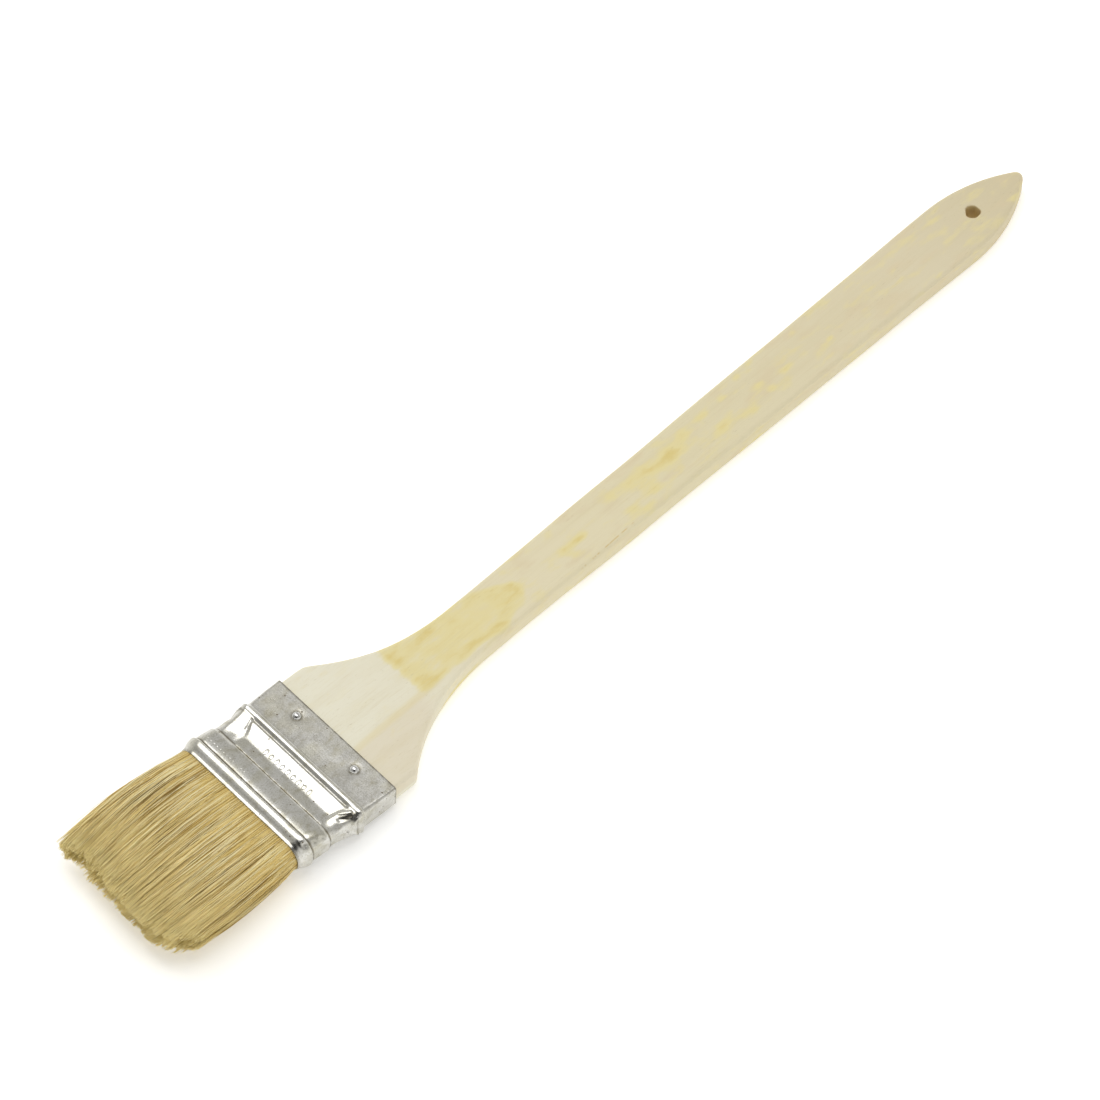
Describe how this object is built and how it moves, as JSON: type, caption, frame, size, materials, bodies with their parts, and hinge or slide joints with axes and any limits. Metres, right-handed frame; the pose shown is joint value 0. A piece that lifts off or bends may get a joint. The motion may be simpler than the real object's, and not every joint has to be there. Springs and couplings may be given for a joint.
{
  "type": "pastry brush",
  "caption": "Long flat wooden-handled pastry brush with a pressed tinplate ferrule, domed nails and natural bristle that flexes at the ferrule's mouth.",
  "frame": {"origin": "the middle of the brush's length and width, on the surface that it lies on", "axes": "+X from the hanging end to the bristle tips, +Y to the right-hand narrow side seen from the front with the tips down, +Z out of the front face"},
  "size_m": [0.3693, 0.0537, 0.0173],
  "materials": {
    "handle_wood": "bare, bleached and sanded, with yellow mineral stains",
    "tinplate": "bright tinplate, dulled and speckled with fine rust",
    "nail_steel": "bright domed nail heads",
    "setting_resin": "cast resin, hidden in the ferrule",
    "plug_wood": "sawn softwood strip, hidden in the ferrule",
    "bristle": "natural blond bristle with pale flagged tips"
  },
  "bodies": {
    "handle": {"handle": "handle_wood", "ferrule": "tinplate", "front_left_nail": "nail_steel", "front_right_nail": "nail_steel", "back_left_nail": "nail_steel", "back_right_nail": "nail_steel", "resin_setting": "setting_resin", "bristle_heel": "bristle", "spacer_plug": "plug_wood"},
    "bristles": {"front_bristles": "bristle", "back_bristles": "bristle", "left_edge_bristles": "bristle", "right_edge_bristles": "bristle"}
  },
  "joints": [
    {"name": "bristle_flex", "type": "hinge", "parent": "handle", "child": "bristles", "pos_m": [0.14129, 0, 0.00917], "axis": [0, 1, 0], "range_deg": [-40, 40], "stiffness_Nm_per_rad": 0.7}
  ]
}
